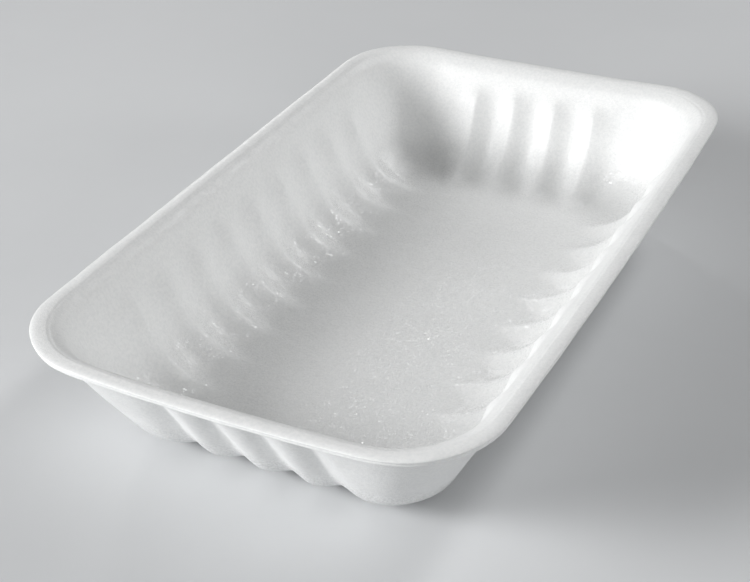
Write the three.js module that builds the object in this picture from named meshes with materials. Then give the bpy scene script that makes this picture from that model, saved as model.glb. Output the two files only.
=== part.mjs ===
// An empty food tray thermoformed from one sheet of white foamed polystyrene.
// It is a single piece: a flat floor, sloping fluted walls and a crowned lip with a cut edge.
//
// Millimetres, +Z up. The origin is in the middle of the underside, on the surface the tray
// stands on. The long side runs along Y.

import * as THREE from 'three';

// ---- driving dimensions -----------------------------------------------------------------

const LENGTH = 225;              // over the lip, along Y
const WIDTH = 136;               // over the lip, along X
const HEIGHT = 40;               // from the underside to the lip at the corners

const FLOOR_THICKNESS = 4.4;     // the floor keeps the foam's full thickness
const FLOOR_BORDER = 1;          // plain floor round the feet of the ridges
const EDGE_THICKNESS = 2.2;      // the lip is pressed thinner where it is cut

const RIM_CORNER_RADIUS = 24;    // of the lip's outline, seen from above
const CORNER_TIGHTENING = 0.43;  // how much that radius loses for each millimetre inwards
const LONG_SIDE_BOW = 1.4;       // how far the middle of a long side stands out
const SHORT_SIDE_BOW = 1.7;
const LONG_SIDE_SAG = 1.2;       // how far the lip hangs between the corners of a long side
const SHORT_SIDE_SAG = 1.9;

// The wall is drawn thinner on its way down, so its inside stands steeper than its outside.
const WALL_TOP_DROP = 4;         // the insets of the wall are measured this far below the lip
const INNER_INSET = 8;
const OUTER_INSET = 4.2;
const INNER_DRAFT = THREE.MathUtils.degToRad(22);   // lean from the vertical
const OUTER_DRAFT = THREE.MathUtils.degToRad(27);
const INNER_HEEL_RADIUS = 17;    // wall to floor, along the bottom of a flute
const OUTER_HEEL_RADIUS = 17.4;
const GROOVE_HEEL_RADIUS = 20.4; // the same on the outside, along the groove behind a ridge

const CROWN_INSET = 2;           // highest line of the lip, from its edge
const CROWN_DROP = 0.4;          // from that line to the top of the cut edge
const SHOULDER_RADIUS = 6.5;     // from the crown of the lip into the wall
const LIP_FILLET = 2;            // under the lip, against the outside of the wall
const EDGE_LEAN = 0.3;           // the cut edge leans in by this towards its foot

const LONG_SIDE_RIDGES = 9;
const LONG_SIDE_PITCH = 16.3;
const SHORT_SIDE_RIDGES = 4;
const SHORT_SIDE_PITCH = 14.7;
const CREST_FOOT_INSET = 39.5;   // where a ridge's crest meets the floor, from the lip's edge
const CREST_RADIUS = 25;         // of the long curve from there to the upright top of the crest
const CREST_SOFTNESS = 0.5;      // how blunt a crest is at its top
const FOOT_SOFTNESS = 8;         // what is added to that towards the floor
const RIDGE_START = 7.5;         // the ridges begin this far below the lip ...
const RIDGE_FULL = 15;           // ... and stand out fully here
const GROOVE_DEPTH = 2.4;        // of the grooves on the outside, measured level
const GROOVE_START = 2.6;
const GROOVE_FULL = 6;

// How finely the surface is divided into facets.
const STEPS_PER_FLUTE = 6;
const CORNER_STEPS = 12;
const HEEL_STEPS = 5;
const WALL_STEPS = 4;
const SHOULDER_STEPS = 4;
const FILLET_STEPS = 2;

// ---- the section of the wall ------------------------------------------------------------
//
// A section is a list of stations, from the middle of the floor up the inside, over the lip and
// down the outside. Each station holds two points, one at the bottom of a flute and one on a
// ridge, as [inset from the lip's edge, height].

// Inset of the plain wall, at the bottom of a flute, at a height.
function wallInset(height, topInset, draft) {
  return topInset + (HEIGHT - WALL_TOP_DROP - height) * Math.tan(draft);
}

// The arc from the floor up to a wall of that draft.
function heel(radius, floorHeight, topInset, draft) {
  const slope = Math.PI / 2 - draft;
  const topHeight = floorHeight + radius * (1 - Math.cos(slope));
  const foot = wallInset(topHeight, topInset, draft) + radius * Math.sin(slope);
  return Array.from({ length: HEEL_STEPS + 1 }, (_, step) => {
    const angle = (slope * step) / HEEL_STEPS;
    return [foot - radius * Math.sin(angle), floorHeight + radius * (1 - Math.cos(angle))];
  });
}

// Even steps up the wall, from the end of its heel to the height where the lip begins.
function wallSteps(heelTop, topHeight) {
  return Array.from({ length: WALL_STEPS }, (_, step) =>
    THREE.MathUtils.lerp(heelTop, topHeight, (step + 1) / WALL_STEPS));
}

// A crest curves up from the floor and stands upright from the height of its centre on.
function crestInset(height) {
  const drop = Math.max(FLOOR_THICKNESS + CREST_RADIUS - height, 0);
  return CREST_FOOT_INSET - Math.sqrt(CREST_RADIUS ** 2 - drop ** 2);
}

// Stations of a flute point and a ridge point, behind a last ring of plain floor.
function bordered(flute, ridge, floorHeight) {
  const border = [Math.max(flute[0][0], ridge[0][0]) + FLOOR_BORDER, floorHeight];
  return [[border, border], ...flute.map((point, index) => [point, ridge[index]])];
}

function innerFace(topHeight) {
  const flute = heel(INNER_HEEL_RADIUS, FLOOR_THICKNESS, INNER_INSET, INNER_DRAFT);
  for (const height of wallSteps(flute.at(-1)[1], topHeight)) {
    flute.push([wallInset(height, INNER_INSET, INNER_DRAFT), height]);
  }
  const ridge = flute.map(([inset, height]) => {
    const share = THREE.MathUtils.smoothstep(HEIGHT - height, RIDGE_START, RIDGE_FULL);
    return [THREE.MathUtils.lerp(inset, crestInset(height), share), height];
  });
  return bordered(flute, ridge, FLOOR_THICKNESS);
}

function outerFace(topHeight) {
  const flute = heel(OUTER_HEEL_RADIUS, 0, OUTER_INSET, OUTER_DRAFT);
  const groove = heel(GROOVE_HEEL_RADIUS, 0, OUTER_INSET + GROOVE_DEPTH, OUTER_DRAFT);
  for (const [face, shift] of [[flute, 0], [groove, GROOVE_DEPTH]]) {
    for (const height of wallSteps(face.at(-1)[1], topHeight)) {
      const depth = shift * THREE.MathUtils.smoothstep(HEIGHT - height, GROOVE_START, GROOVE_FULL);
      face.push([wallInset(height, OUTER_INSET, OUTER_DRAFT) + depth, height]);
    }
  }
  return bordered(flute, groove, 0);
}

const SHOULDER_SLOPE = Math.PI / 2 - INNER_DRAFT;   // how far the shoulder's arc turns
const FILLET_SLOPE = Math.PI / 2 - OUTER_DRAFT;

function lip() {
  const points = [];
  for (let step = SHOULDER_STEPS - 1; step >= 0; step -= 1) {
    const angle = (SHOULDER_SLOPE * step) / SHOULDER_STEPS;
    points.push([
      CROWN_INSET + SHOULDER_RADIUS * Math.sin(angle),
      HEIGHT - SHOULDER_RADIUS * (1 - Math.cos(angle)),
    ]);
  }
  const underside = HEIGHT - EDGE_THICKNESS;
  const wallOutside = wallInset(underside, OUTER_INSET, OUTER_DRAFT);
  const tangent = LIP_FILLET * Math.tan(FILLET_SLOPE / 2);
  points.push([CROWN_INSET / 2, HEIGHT - CROWN_DROP / 4]);
  points.push([CROWN_DROP / 4, HEIGHT - CROWN_DROP]);
  points.push([0, HEIGHT - 2 * CROWN_DROP]);
  points.push([EDGE_LEAN, underside]);
  for (let step = 0; step < FILLET_STEPS; step += 1) {
    const angle = (FILLET_SLOPE * step) / FILLET_STEPS;
    points.push([
      wallOutside - tangent + LIP_FILLET * Math.sin(angle),
      underside - LIP_FILLET * (1 - Math.cos(angle)),
    ]);
  }
  return points.map((point) => [point, point]);
}

const shoulderFoot = HEIGHT - SHOULDER_RADIUS * (1 - Math.cos(SHOULDER_SLOPE));
const filletFoot = HEIGHT - EDGE_THICKNESS - LIP_FILLET * (1 - Math.cos(FILLET_SLOPE));
const section = [...innerFace(shoulderFoot), ...lip(), ...outerFace(filletFoot).reverse()];

// ---- the outline ------------------------------------------------------------------------

// One point of the rounded rectangle that lies a given inset inside the lip's outline. Places
// count along a quarter of it: first along the long side from its middle to the last ridge, then
// in even steps round the corner to the last ridge of the short side, then to its middle.
const LAST_LONG_RIDGE = ((LONG_SIDE_RIDGES - 1) / 2) * LONG_SIDE_PITCH;
const LAST_SHORT_RIDGE = ((SHORT_SIDE_RIDGES - 1) / 2) * SHORT_SIDE_PITCH;
const LONG_STEPS = ((LONG_SIDE_RIDGES - 1) / 2) * STEPS_PER_FLUTE;
const SHORT_STEPS = ((SHORT_SIDE_RIDGES - 1) / 2) * STEPS_PER_FLUTE;
const QUARTER_STEPS = LONG_STEPS + CORNER_STEPS + SHORT_STEPS;

function quarterPoint(place, inset) {
  const halfWidth = WIDTH / 2 - LONG_SIDE_BOW - inset;
  const halfLength = LENGTH / 2 - SHORT_SIDE_BOW - inset;
  const radius = Math.min(RIM_CORNER_RADIUS - CORNER_TIGHTENING * inset, halfWidth - LAST_SHORT_RIDGE);
  if (place <= LONG_STEPS) {
    return { x: halfWidth, y: (LAST_LONG_RIDGE * place) / LONG_STEPS, outX: 1, outY: 0 };
  }
  if (place >= LONG_STEPS + CORNER_STEPS) {
    const x = (LAST_SHORT_RIDGE * (QUARTER_STEPS - place)) / SHORT_STEPS;
    return { x, y: halfLength, outX: 0, outY: 1 };
  }
  const before = halfLength - radius - LAST_LONG_RIDGE;
  const round = (radius * Math.PI) / 2;
  const after = halfWidth - radius - LAST_SHORT_RIDGE;
  const along = ((before + round + after) * (place - LONG_STEPS)) / CORNER_STEPS;
  if (along < before) return { x: halfWidth, y: LAST_LONG_RIDGE + along, outX: 1, outY: 0 };
  if (along > before + round) {
    const x = LAST_SHORT_RIDGE + (before + round + after - along);
    return { x, y: halfLength, outX: 0, outY: 1 };
  }
  const angle = (along - before) / radius;
  return {
    x: halfWidth - radius + radius * Math.cos(angle),
    y: halfLength - radius + radius * Math.sin(angle),
    outX: Math.cos(angle),
    outY: Math.sin(angle),
  };
}

// 1 on the crest of a ridge, falling to 0 at the bottom of a flute.
function ridgeShare(distance, pitch, height) {
  const softness = CREST_SOFTNESS + FOOT_SOFTNESS * (1 - height / HEIGHT) ** 2;
  const soft = Math.hypot(distance, softness) - softness;
  const reach = Math.hypot(pitch / 2, softness) - softness;
  return THREE.MathUtils.clamp(1 - soft / reach, 0, 1) ** 2;
}

// Distance along a side from the nearest ridge. Past the last ridge there are no more.
function toRidge(position, pitch, lastRidge) {
  const fromLast = lastRidge - position;
  return fromLast < 0 ? -fromLast : Math.abs(fromLast - pitch * Math.round(fromLast / pitch));
}

function surfacePoint(place, [flute, ridge]) {
  const base = quarterPoint(place, flute[0]);
  const share = base.outX > base.outY
    ? ridgeShare(toRidge(base.y, LONG_SIDE_PITCH, LAST_LONG_RIDGE), LONG_SIDE_PITCH, flute[1])
    : ridgeShare(toRidge(base.x, SHORT_SIDE_PITCH, LAST_SHORT_RIDGE), SHORT_SIDE_PITCH, flute[1]);
  const inwards = (ridge[0] - flute[0]) * share;
  const height = THREE.MathUtils.lerp(flute[1], ridge[1], share);
  const rise = height / HEIGHT;
  const nearSide = (base.x / (WIDTH / 2)) ** 2;
  const nearEnd = (base.y / (LENGTH / 2)) ** 2;
  const sag = LONG_SIDE_SAG * (nearEnd - 1) + SHORT_SIDE_SAG * (nearSide - 1);
  const bowX = (LONG_SIDE_BOW * (1 - nearEnd) * base.x) / (WIDTH / 2);
  const bowY = (SHORT_SIDE_BOW * (1 - nearSide) * base.y) / (LENGTH / 2);
  return [
    base.x - base.outX * inwards + bowX * rise,
    base.y - base.outY * inwards + bowY * rise,
    height + sag * rise ** 2,
  ];
}

// A whole ring, from four mirrored quarters, anticlockwise seen from above.
function ring(station) {
  const quarter = [];
  for (let place = 0; place <= QUARTER_STEPS; place += 1) {
    quarter.push(surfacePoint(place, station));
  }
  const turned = (signX, signY) => quarter.map(([x, y, z]) => [signX * x, signY * y, z]);
  return [
    ...turned(1, 1),
    ...turned(-1, 1).reverse().slice(1),
    ...turned(-1, -1).slice(1),
    ...turned(1, -1).reverse().slice(1, -1),
  ];
}

// ---- the tray ---------------------------------------------------------------------------

function trayGeometry() {
  const rings = section.map(ring);
  const count = rings[0].length;
  const positions = rings.flat(2);
  const indices = [];
  for (let level = 0; level < rings.length - 1; level += 1) {
    for (let here = 0; here < count; here += 1) {
      const next = (here + 1) % count;
      const a = level * count + here;
      const b = level * count + next;
      indices.push(a, b + count, b, a, a + count, b + count);
    }
  }
  const floorCentre = positions.length / 3;
  positions.push(0, 0, FLOOR_THICKNESS);
  const undersideCentre = floorCentre + 1;
  positions.push(0, 0, 0);
  const lastRing = (rings.length - 1) * count;
  for (let here = 0; here < count; here += 1) {
    const next = (here + 1) % count;
    indices.push(floorCentre, here, next);
    indices.push(undersideCentre, lastRing + next, lastRing + here);
  }
  const geometry = new THREE.BufferGeometry();
  geometry.setAttribute('position', new THREE.Float32BufferAttribute(positions, 3));
  geometry.setIndex(indices);
  geometry.computeVertexNormals();
  return geometry;
}

const foam = new THREE.MeshStandardMaterial({ color: 0xf1f2f1, roughness: 0.55, metalness: 0 });
const tray = new THREE.Mesh(trayGeometry(), foam);
tray.name = 'tray';

const model = new THREE.Group();
model.add(tray);

export default model;
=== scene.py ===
from math import cos, hypot, pi, radians, sin, sqrt, tan

import bmesh
import bpy
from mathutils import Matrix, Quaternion, Vector


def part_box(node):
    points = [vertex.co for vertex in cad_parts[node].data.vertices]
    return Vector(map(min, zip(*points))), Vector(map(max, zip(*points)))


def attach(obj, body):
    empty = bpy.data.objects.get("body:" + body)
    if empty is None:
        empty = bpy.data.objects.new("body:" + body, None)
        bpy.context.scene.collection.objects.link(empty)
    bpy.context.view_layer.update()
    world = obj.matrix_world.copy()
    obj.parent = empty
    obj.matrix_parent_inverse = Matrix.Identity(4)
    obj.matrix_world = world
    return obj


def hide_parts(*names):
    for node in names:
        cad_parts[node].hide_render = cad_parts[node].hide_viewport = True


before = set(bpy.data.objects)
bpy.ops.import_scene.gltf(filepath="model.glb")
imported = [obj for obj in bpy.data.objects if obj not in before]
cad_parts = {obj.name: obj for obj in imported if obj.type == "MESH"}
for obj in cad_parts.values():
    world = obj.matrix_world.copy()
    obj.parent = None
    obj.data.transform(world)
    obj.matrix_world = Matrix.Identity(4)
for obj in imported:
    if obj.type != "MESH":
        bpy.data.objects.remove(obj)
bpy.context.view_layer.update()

MM = 0.001

# ---- the sheet and its outline ----------------------------------------------------------------
#
# The tray is one sheet of white foamed polystyrene, pressed hot between two halves of a fluted mould
# and then cut free all round. Its rim is a rounded rectangle with slightly bowed sides, and the
# middles of the sides have sunk a little since it left the mould.

tray_low, tray_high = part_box("tray")
LENGTH = tray_high.y - tray_low.y
WIDTH = tray_high.x - tray_low.x
HEIGHT = 40.0 * MM

RIM_CORNER_RADIUS = 24 * MM
CORNER_TIGHTENING = 0.43         # how much the corner's radius shrinks for each unit of inset
LONG_SIDE_BOW = 1.4 * MM
SHORT_SIDE_BOW = 1.7 * MM
LONG_SIDE_SAG = 1.2 * MM
SHORT_SIDE_SAG = 1.9 * MM

# ---- floor, heel and wall ---------------------------------------------------------------------
#
# The floor keeps the full thickness of the foam. The wall is drawn thinner on its way down, so its
# inner face stands steeper than its outer one, and a round heel joins it to the floor.

FLOOR_THICKNESS = 4.4 * MM
FLOOR_BORDER = 1 * MM            # plain floor round the feet of the ridges
WALL_TOP_DROP = 4 * MM           # how far below the lip the wall's insets are measured
INNER_INSET = 8 * MM
OUTER_INSET = 4.2 * MM
INNER_DRAFT = radians(22)
OUTER_DRAFT = radians(27)
INNER_HEEL_RADIUS = 17 * MM
OUTER_HEEL_RADIUS = 17.4 * MM
HEEL_STEPS = 8
WALL_STEPS = 9


def wall_inset(height, top_inset, draft):
    """How far the plain wall lies inside the rim at that height."""
    return top_inset + (HEIGHT - WALL_TOP_DROP - height) * tan(draft)


def heel(radius, floor_height, top_inset, draft):
    """The arc that joins the floor to a wall of that draft, in section, from its foot up."""
    slope = pi / 2 - draft
    top_height = floor_height + radius * (1 - cos(slope))
    foot = wall_inset(top_height, top_inset, draft) + radius * sin(slope)
    points = []
    for step in range(HEEL_STEPS + 1):
        angle = slope * step / HEEL_STEPS
        points.append((foot - radius * sin(angle), floor_height + radius * (1 - cos(angle))))
    return points


# ---- flutes -----------------------------------------------------------------------------------
#
# Upright ridges pressed inwards stiffen the wall, with shallow round channels between them and a
# groove behind each. A ridge's crest is sharp at its top and soft at its foot. It drops upright and
# then bends over to the floor in one long curve, so that it stands proudest at its top and its heel.

LONG_SIDE_RIDGES = 9
LONG_SIDE_PITCH = 16.3 * MM
SHORT_SIDE_RIDGES = 4
SHORT_SIDE_PITCH = 14.7 * MM
CREST_SOFTNESS = 0.5 * MM        # how blunt a crest is at its top
FOOT_SOFTNESS = 8 * MM           # what is added to that towards the floor
CREST_CROWDING = 1.5             # draws the mesh's upright lines together at the crests

CREST_FOOT_INSET = 39.5 * MM
CREST_RADIUS = 25 * MM
RIDGE_START = 7.5 * MM           # measured down from the lip, as the next three are
RIDGE_FULL = 15 * MM
GROOVE_DEPTH = 2.4 * MM
GROOVE_HEEL_RADIUS = 20.4 * MM
GROOVE_START = 2.6 * MM
GROOVE_FULL = 6 * MM


def fade(height, start, full):
    share = (HEIGHT - height - start) / (full - start)
    share = min(max(share, 0), 1)
    return share * share * (3 - 2 * share)


def crest_inset(height):
    """A crest's long curve, which stands upright from the height of its centre on."""
    drop = max(FLOOR_THICKNESS + CREST_RADIUS - height, 0)
    return CREST_FOOT_INSET - sqrt(CREST_RADIUS ** 2 - drop ** 2)


def inner_face(top_height):
    channel = heel(INNER_HEEL_RADIUS, FLOOR_THICKNESS, INNER_INSET, INNER_DRAFT)
    heel_top = channel[-1][1]
    for step in range(1, WALL_STEPS + 1):
        height = heel_top + (top_height - heel_top) * step / WALL_STEPS
        channel.append((wall_inset(height, INNER_INSET, INNER_DRAFT), height))
    crest = []
    for inset, height in channel:
        share = fade(height, RIDGE_START, RIDGE_FULL)
        crest.append((inset + (crest_inset(height) - inset) * share, height))
    return bordered(channel, crest, FLOOR_THICKNESS)


def outer_face(top_height):
    channel = heel(OUTER_HEEL_RADIUS, 0, OUTER_INSET, OUTER_DRAFT)
    groove = heel(GROOVE_HEEL_RADIUS, 0, OUTER_INSET + GROOVE_DEPTH, OUTER_DRAFT)
    for face, shift in ((channel, 0), (groove, GROOVE_DEPTH)):
        heel_top = face[-1][1]
        for step in range(1, WALL_STEPS + 1):
            height = heel_top + (top_height - heel_top) * step / WALL_STEPS
            depth = shift * fade(height, GROOVE_START, GROOVE_FULL)
            face.append((wall_inset(height, OUTER_INSET, OUTER_DRAFT) + depth, height))
    return bordered(channel, groove, 0)


def bordered(channel, ridge, floor_height):
    border = (max(channel[0][0], ridge[0][0]) + FLOOR_BORDER, floor_height)
    return [(border, border)] + list(zip(channel, ridge))


# ---- lip --------------------------------------------------------------------------------------
#
# The top of the wall rolls over a round shoulder into a flat, slightly crowned lip. Its outer edge
# is the bare cut through the foam, a little hollow between the two skins of the sheet.

CROWN_INSET = 2 * MM
CROWN_DROP = 0.4 * MM
SHOULDER_RADIUS = 6.5 * MM
EDGE_THICKNESS = 2.2 * MM
EDGE_LEAN = 0.3 * MM
EDGE_ROUNDING = 0.3 * MM
EDGE_HOLLOW = 0.35 * MM
CREASE_DEPTH = 0.1 * MM          # a fine line round the shoulder, where the mould's insert begins
CREASE_AT = radians(20)
CREASE_SPREAD = radians(3.5)
LIP_FILLET = 2 * MM
SHOULDER_STEPS = 5
FILLET_STEPS = 3
SHOULDER_SLOPE = pi / 2 - INNER_DRAFT
FILLET_SLOPE = pi / 2 - OUTER_DRAFT


def lip_points():
    turns = [(SHOULDER_SLOPE * step / SHOULDER_STEPS, 0) for step in range(SHOULDER_STEPS)]
    turns += [(CREASE_AT - CREASE_SPREAD, 0), (CREASE_AT, CREASE_DEPTH), (CREASE_AT + CREASE_SPREAD, 0)]
    points = []
    for angle, depth in sorted(turns, reverse=True):
        radius = SHOULDER_RADIUS - depth
        points.append((CROWN_INSET + radius * sin(angle),
                       HEIGHT - SHOULDER_RADIUS + radius * cos(angle)))
    underside = HEIGHT - EDGE_THICKNESS
    points.append((CROWN_INSET / 2, HEIGHT - CROWN_DROP / 4))
    points.append((EDGE_ROUNDING, HEIGHT - CROWN_DROP))
    points.append((0, HEIGHT - CROWN_DROP - EDGE_ROUNDING))
    points.append((EDGE_LEAN / 2 + EDGE_HOLLOW, HEIGHT - EDGE_THICKNESS / 2))
    points.append((EDGE_LEAN, underside + EDGE_ROUNDING))
    points.append((EDGE_LEAN + EDGE_ROUNDING, underside))
    wall_outside = wall_inset(underside, OUTER_INSET, OUTER_DRAFT)
    tangent = LIP_FILLET * tan(FILLET_SLOPE / 2)
    for step in range(FILLET_STEPS):
        angle = FILLET_SLOPE * step / FILLET_STEPS
        points.append((wall_outside - tangent + LIP_FILLET * sin(angle),
                       underside - LIP_FILLET * (1 - cos(angle))))
    return [(point, point) for point in points]


shoulder_foot = HEIGHT - SHOULDER_RADIUS * (1 - cos(SHOULDER_SLOPE))
fillet_foot = HEIGHT - EDGE_THICKNESS - LIP_FILLET * (1 - cos(FILLET_SLOPE))
section = inner_face(shoulder_foot) + lip_points() + outer_face(fillet_foot)[::-1]

# ---- the sheet as one surface -----------------------------------------------------------------
#
# The same section is carried once round the rim. It is the plain wall in a channel, reaches in by a
# ridge's depth at a crest, and turns round the corners, which have no flutes.

STEPS_PER_FLUTE = 10
CORNER_STEPS = 16
FLOOR_CORNER = 0.5               # where the floor's grid has its corner, as a share of CORNER_STEPS

LAST_LONG_RIDGE = (LONG_SIDE_RIDGES - 1) / 2 * LONG_SIDE_PITCH
LAST_SHORT_RIDGE = (SHORT_SIDE_RIDGES - 1) / 2 * SHORT_SIDE_PITCH
LONG_STEPS = (LONG_SIDE_RIDGES - 1) * STEPS_PER_FLUTE // 2
SHORT_STEPS = (SHORT_SIDE_RIDGES - 1) * STEPS_PER_FLUTE // 2
QUARTER_STEPS = LONG_STEPS + CORNER_STEPS + SHORT_STEPS


def crowded(steps_from_last_ridge, pitch):
    """How far from the last ridge a line of the mesh lies, with the lines closer near the crests."""
    flutes = steps_from_last_ridge / STEPS_PER_FLUTE
    nearest = round(flutes)
    share = 2 * abs(flutes - nearest)
    from_crest = pitch / 2 * share ** CREST_CROWDING
    return nearest * pitch + (from_crest if flutes > nearest else -from_crest)


def quarter_point(place, inset):
    """The point of that place in a quarter of the outline, and the way out of the tray there."""
    half_width = WIDTH / 2 - LONG_SIDE_BOW - inset
    half_length = LENGTH / 2 - SHORT_SIDE_BOW - inset
    radius = min(RIM_CORNER_RADIUS - CORNER_TIGHTENING * inset, half_width - LAST_SHORT_RIDGE)
    if place <= LONG_STEPS:
        return half_width, LAST_LONG_RIDGE - crowded(LONG_STEPS - place, LONG_SIDE_PITCH), 1, 0
    if place >= LONG_STEPS + CORNER_STEPS:
        steps = place - LONG_STEPS - CORNER_STEPS
        return LAST_SHORT_RIDGE - crowded(steps, SHORT_SIDE_PITCH), half_length, 0, 1
    before = half_length - radius - LAST_LONG_RIDGE
    turn = radius * pi / 2
    after = half_width - radius - LAST_SHORT_RIDGE
    along = (before + turn + after) * (place - LONG_STEPS) / CORNER_STEPS
    if along < before:
        return half_width, LAST_LONG_RIDGE + along, 1, 0
    if along > before + turn:
        return LAST_SHORT_RIDGE + before + turn + after - along, half_length, 0, 1
    angle = (along - before) / radius
    return (half_width - radius + radius * cos(angle), half_length - radius + radius * sin(angle),
            cos(angle), sin(angle))


def ridge_share(distance, pitch, height):
    """1 on a crest, falling along a round channel to 0 in its middle."""
    softness = CREST_SOFTNESS + FOOT_SOFTNESS * (1 - height / HEIGHT) ** 2
    soft = hypot(distance, softness) - softness
    reach = hypot(pitch / 2, softness) - softness
    return max(1 - soft / reach, 0) ** 2


def to_crest(position, pitch, last_ridge):
    from_last = last_ridge - position
    return -from_last if from_last < 0 else abs(from_last - pitch * round(from_last / pitch))


def surface_point(place, station):
    channel, ridge = station
    x, y, out_x, out_y = quarter_point(place, channel[0])
    if out_x > out_y:
        distance = to_crest(y, LONG_SIDE_PITCH, LAST_LONG_RIDGE)
        share = ridge_share(distance, LONG_SIDE_PITCH, channel[1])
    else:
        distance = to_crest(x, SHORT_SIDE_PITCH, LAST_SHORT_RIDGE)
        share = ridge_share(distance, SHORT_SIDE_PITCH, channel[1])
    inwards = (ridge[0] - channel[0]) * share
    height = channel[1] + (ridge[1] - channel[1]) * share
    rise = height / HEIGHT
    near_side = (x / (WIDTH / 2)) ** 2
    near_end = (y / (LENGTH / 2)) ** 2
    sag = LONG_SIDE_SAG * (near_end - 1) + SHORT_SIDE_SAG * (near_side - 1)
    bow_x = LONG_SIDE_BOW * (1 - near_end) * x / (WIDTH / 2)
    bow_y = SHORT_SIDE_BOW * (1 - near_side) * y / (LENGTH / 2)
    return Vector((x - out_x * inwards + bow_x * rise, y - out_y * inwards + bow_y * rise,
                   height + sag * rise ** 2))


def ring(station):
    quarter = [surface_point(place, station) for place in range(QUARTER_STEPS + 1)]

    def turned(sign_x, sign_y):
        return [Vector((sign_x * p.x, sign_y * p.y, p.z)) for p in quarter]

    return (turned(1, 1) + turned(-1, 1)[::-1][1:] + turned(-1, -1)[1:] + turned(1, -1)[::-1][1:-1])


bpy.ops.object.select_all(action="DESELECT")
RING_COUNT = 4 * QUARTER_STEPS
bpy.ops.mesh.primitive_circle_add(vertices=RING_COUNT, radius=WIDTH / 2)
tray = bpy.context.object
tray.name = tray.data.name = "tray_foam"
bpy.ops.object.mode_set(mode="EDIT")
shape = bmesh.from_edit_mesh(tray.data)
place_of = shape.verts.layers.int.new("place")
shape.verts.ensure_lookup_table()
for place, vertex in enumerate(shape.verts):
    vertex[place_of] = place
for level, station in enumerate(section):
    if level:
        bpy.ops.mesh.extrude_region_move()
    points = ring(station)
    shape = bmesh.from_edit_mesh(tray.data)
    place_of = shape.verts.layers.int["place"]
    for vertex in shape.verts:
        if vertex.select:
            vertex.co = points[vertex[place_of]]
    bmesh.update_edit_mesh(tray.data)


def fill_floor(height):
    """Closes the open ring at that height with a grid of faces."""
    bpy.ops.mesh.select_all(action="DESELECT")
    shape = bmesh.from_edit_mesh(tray.data)
    place_of = shape.verts.layers.int["place"]
    corner = LONG_STEPS + round(FLOOR_CORNER * CORNER_STEPS)
    shape.select_mode = {"VERT"}
    for edge in shape.edges:
        if edge.is_boundary and abs(edge.verts[0].co.z - height) < HEIGHT / 20:
            edge.select_set(True)
    shape.select_history.clear()
    for vertex in shape.verts:
        if vertex.select and vertex[place_of] == corner:
            shape.select_history.add(vertex)
    bmesh.update_edit_mesh(tray.data)
    bpy.ops.mesh.fill_grid(span=2 * (QUARTER_STEPS - corner), use_interp_simple=True)


fill_floor(FLOOR_THICKNESS)
fill_floor(0)
bpy.ops.mesh.select_all(action="SELECT")
bpy.ops.mesh.normals_make_consistent(inside=False)
bpy.ops.object.mode_set(mode="OBJECT")
tray.data.attributes.remove(tray.data.attributes["place"])
rounding = tray.modifiers.new("rounding", "SUBSURF")
rounding.levels = rounding.render_levels = 1
bpy.ops.object.modifier_apply(modifier=rounding.name)

# The foam has set a little unevenly, so no face or edge of it is quite true.

WAVE_SIZE = 14 * MM
WAVE_HEIGHT = 0.35 * MM
RIPPLE_SIZE = 3 * MM
RIPPLE_HEIGHT = 0.12 * MM

for name, size, height in (("waves", WAVE_SIZE, WAVE_HEIGHT), ("ripples", RIPPLE_SIZE, RIPPLE_HEIGHT)):
    cloud = bpy.data.textures.new(name, "CLOUDS")
    cloud.noise_scale = size
    uneven = tray.modifiers.new(name, "DISPLACE")
    uneven.texture = cloud
    uneven.texture_coords = "LOCAL"
    uneven.direction = "NORMAL"
    uneven.mid_level = 0.5
    uneven.strength = height
    bpy.ops.object.modifier_apply(modifier=uneven.name)
bpy.ops.object.shade_smooth()

# ---- foam -------------------------------------------------------------------------------------
#
# The skin of the foam is closed, satin and white, with a fine pearly grain. Where the sheet was not
# drawn, on the floor and at the heel, the flattened cells under the skin lie at a slant and glint.

FOAM_WHITE = (0.86, 0.865, 0.86, 1)
FOAM_GREY = (0.79, 0.80, 0.80, 1)
CELL_SIZE = 0.34 * MM
CELL_SLOPE = 0.35                # how far the skin over a cell leans at most, as a gradient
CELL_RELIEF = 0.1 * MM
GRAIN_SIZE = CELL_SIZE / 0.38    # of the fine grey mottling
GRAIN_RELIEF = 0.15 * MM
STREAK_SIZE = CELL_SIZE / 0.075  # of the duller and the smoother places in the skin
PATCH_SIZE = 30 * MM             # of the places where the skin glints more
HEEL_TOP = 9.6 * MM              # below this height the skin glints in full
WALL_FOOT = 16 * MM              # above this one the drawn skin is dull


def add(tree, kind, **values):
    """A shader node with its properties, and its inputs where the name is one of theirs."""
    node = tree.nodes.new(kind)
    for name, value in values.items():
        if hasattr(node, name):
            setattr(node, name, value)
        else:
            node.inputs[name.replace("_", " ").title()].default_value = value
    return node


foam = bpy.data.materials.new("white foamed polystyrene")
foam.use_nodes = True
tree = foam.node_tree
shader = tree.nodes["Principled BSDF"]
shader.inputs["IOR"].default_value = 1.4
place = add(tree, "ShaderNodeTexCoord").outputs["Object"]

grain = add(tree, "ShaderNodeTexNoise", scale=1 / GRAIN_SIZE, detail=3.0, roughness=0.6)
tree.links.new(place, grain.inputs["Vector"])
streaks = add(tree, "ShaderNodeTexNoise", scale=1 / STREAK_SIZE, detail=4.0, roughness=0.55)
tree.links.new(place, streaks.inputs["Vector"])

white = add(tree, "ShaderNodeValToRGB")
white.color_ramp.elements[0].position = 0.3
white.color_ramp.elements[0].color = FOAM_GREY
white.color_ramp.elements[1].position = 0.62
white.color_ramp.elements[1].color = FOAM_WHITE
tree.links.new(grain.outputs["Fac"], white.inputs["Fac"])
tree.links.new(white.outputs["Color"], shader.inputs["Base Color"])

# The glint is a clear coat over the white, and over each cell it leans its own way.

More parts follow.
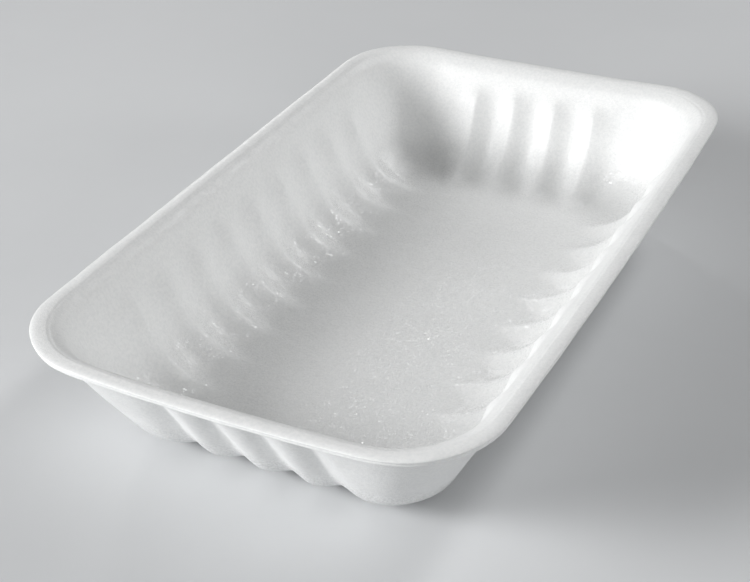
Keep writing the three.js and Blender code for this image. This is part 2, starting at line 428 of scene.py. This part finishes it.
cells = add(tree, "ShaderNodeTexVoronoi", scale=1 / CELL_SIZE)
tree.links.new(place, cells.inputs["Vector"])
from_centre = add(tree, "ShaderNodeVectorMath", operation="SUBTRACT")
tree.links.new(place, from_centre.inputs[0])
tree.links.new(cells.outputs["Position"], from_centre.inputs[1])
lean = add(tree, "ShaderNodeVectorMath", operation="SUBTRACT")
lean.inputs[1].default_value = (0.5, 0.5, 0.5)
tree.links.new(cells.outputs["Color"], lean.inputs[0])
facet = add(tree, "ShaderNodeVectorMath", operation="DOT_PRODUCT")
tree.links.new(from_centre.outputs["Vector"], facet.inputs[0])
tree.links.new(lean.outputs["Vector"], facet.inputs[1])

leaning = add(tree, "ShaderNodeBump", strength=1.0)
leaning.inputs["Distance"].default_value = 2 * CELL_SLOPE
tree.links.new(facet.outputs["Value"], leaning.inputs["Height"])
tree.links.new(leaning.outputs["Normal"], shader.inputs["Coat Normal"])
shader.inputs["Coat Roughness"].default_value = 0.24
shader.inputs["Coat IOR"].default_value = 1.65

patches = add(tree, "ShaderNodeTexNoise", scale=1 / PATCH_SIZE, detail=2.0, roughness=0.5)
tree.links.new(place, patches.inputs["Vector"])
patch = add(tree, "ShaderNodeMapRange")
patch.inputs["From Min"].default_value = 0.4
patch.inputs["From Max"].default_value = 0.65
patch.inputs["To Min"].default_value = 0.7
tree.links.new(patches.outputs["Fac"], patch.inputs["Value"])
along = add(tree, "ShaderNodeSeparateXYZ")
tree.links.new(place, along.inputs["Vector"])
off_wall = add(tree, "ShaderNodeMapRange", interpolation_type="SMOOTHSTEP")
off_wall.inputs["From Min"].default_value = WALL_FOOT
off_wall.inputs["From Max"].default_value = HEEL_TOP
off_wall.inputs["To Min"].default_value = 0.12
tree.links.new(along.outputs["Z"], off_wall.inputs["Value"])
glossy = add(tree, "ShaderNodeMath", operation="MULTIPLY")
tree.links.new(patch.outputs["Result"], glossy.inputs[0])
tree.links.new(off_wall.outputs["Result"], glossy.inputs[1])
tree.links.new(glossy.outputs["Value"], shader.inputs["Coat Weight"])

gloss = add(tree, "ShaderNodeMapRange")
gloss.inputs["From Min"].default_value = 0.3
gloss.inputs["From Max"].default_value = 0.7
gloss.inputs["To Min"].default_value = 0.5
gloss.inputs["To Max"].default_value = 0.34
tree.links.new(streaks.outputs["Fac"], gloss.inputs["Value"])
tree.links.new(gloss.outputs["Result"], shader.inputs["Roughness"])

skin = add(tree, "ShaderNodeBump", strength=0.35)
skin.inputs["Distance"].default_value = CELL_RELIEF
tree.links.new(cells.outputs["Distance"], skin.inputs["Height"])
fine = add(tree, "ShaderNodeBump", strength=0.5)
fine.inputs["Distance"].default_value = GRAIN_RELIEF
tree.links.new(grain.outputs["Fac"], fine.inputs["Height"])
tree.links.new(skin.outputs["Normal"], fine.inputs["Normal"])
tree.links.new(fine.outputs["Normal"], shader.inputs["Normal"])

tray.data.materials.append(foam)
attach(tray, "root")
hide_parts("tray")

# ---- the floor the tray stands on -------------------------------------------------------------
#
# A plain pale studio floor, matte and very faintly clouded, wide enough to fill the picture behind
# and below the tray.

FLOOR_WIDTH = 6
FLOOR_PALE = (0.64, 0.65, 0.66, 1)
FLOOR_SHADED = (0.60, 0.61, 0.62, 1)

bpy.ops.object.select_all(action="DESELECT")
bpy.ops.mesh.primitive_plane_add(size=FLOOR_WIDTH)
table = bpy.context.object
table.name = "pale_floor"
paint = bpy.data.materials.new("pale floor")
paint.use_nodes = True
tree = paint.node_tree
shader = tree.nodes["Principled BSDF"]
shader.inputs["Roughness"].default_value = 0.7
place = add(tree, "ShaderNodeTexCoord").outputs["Object"]
clouding = add(tree, "ShaderNodeTexNoise", scale=4.0, detail=5.0, roughness=0.6)
tree.links.new(place, clouding.inputs["Vector"])
tone = add(tree, "ShaderNodeValToRGB")
tone.color_ramp.elements[0].position = 0.3
tone.color_ramp.elements[0].color = FLOOR_SHADED
tone.color_ramp.elements[1].position = 0.7
tone.color_ramp.elements[1].color = FLOOR_PALE
tree.links.new(clouding.outputs["Fac"], tone.inputs["Fac"])
tree.links.new(tone.outputs["Color"], shader.inputs["Base Color"])
table.data.materials.append(paint)

# ---- light ------------------------------------------------------------------------------------
#
# Plain soft studio light: a big softbox low at the near left, weak ones at the near right, the right
# and overhead, two small lamps behind for the glints, one high and one low, and a weak even sky.

LAMP_DISTANCE = 1.2
SKY_BLUE = (0.95, 0.98, 1, 1)
SKY_STRENGTH = 0.03


def softbox(name, azimuth, elevation, size, power):
    """A square lamp that faces the tray. Azimuth 0 is at its far end and 90 at its right."""
    turn, rise = radians(azimuth), radians(elevation)
    direction = Vector((sin(turn) * cos(rise), cos(turn) * cos(rise), sin(rise)))
    bpy.ops.object.light_add(type="AREA", location=direction * LAMP_DISTANCE,
                             rotation=direction.to_track_quat("Z", "Y").to_euler())
    lamp = bpy.context.object
    lamp.name = name
    lamp.data.size = size
    lamp.data.energy = power


softbox("key", 228, 22, 0.5, 16.4)
softbox("near", 140, 35, 0.6, 2.8)
softbox("right", 76, 20, 0.4, 2.8)
softbox("behind", 25, 43, 0.2, 4.6)
softbox("far_left", 320, 20, 0.12, 1.3)
softbox("overhead", 0, 88, 0.8, 0.2)
world = bpy.data.worlds.new("studio")
bpy.context.scene.world = world
world.use_nodes = True
world.node_tree.nodes["Background"].inputs["Color"].default_value = SKY_BLUE
world.node_tree.nodes["Background"].inputs["Strength"].default_value = SKY_STRENGTH

# ---- camera -----------------------------------------------------------------------------------
#
# It looks along the tray from the near right, well above the lip, as in the photograph, whose lens
# and place were fitted to the lip's outline.

AZIMUTH, ELEVATION, ROLL = radians(27.775), radians(32.004), radians(-1.944)
CAMERA_DISTANCE = 443.15 * MM
FOCAL_LENGTH_PX = 1502.6
PICTURE_WIDTH_PX = 750
SENSOR_WIDTH = 36
AIM_RIGHT, AIM_UP = -10.52 * MM, -25.03 * MM
AIM_HEIGHT = 38.5 * MM
back = Vector((sin(AZIMUTH) * cos(ELEVATION), -cos(AZIMUTH) * cos(ELEVATION), sin(ELEVATION)))
turn = Quaternion(back, ROLL) @ back.to_track_quat("Z", "Y")
aim = Vector((0, 0, AIM_HEIGHT)) + turn @ Vector((AIM_RIGHT, AIM_UP, 0))
bpy.ops.object.camera_add(location=aim + back * CAMERA_DISTANCE, rotation=turn.to_euler())
camera = bpy.context.object
camera.data.sensor_width = SENSOR_WIDTH
camera.data.lens = FOCAL_LENGTH_PX / PICTURE_WIDTH_PX * SENSOR_WIDTH
bpy.context.scene.camera = camera
bpy.context.scene.view_settings.view_transform = "Standard"
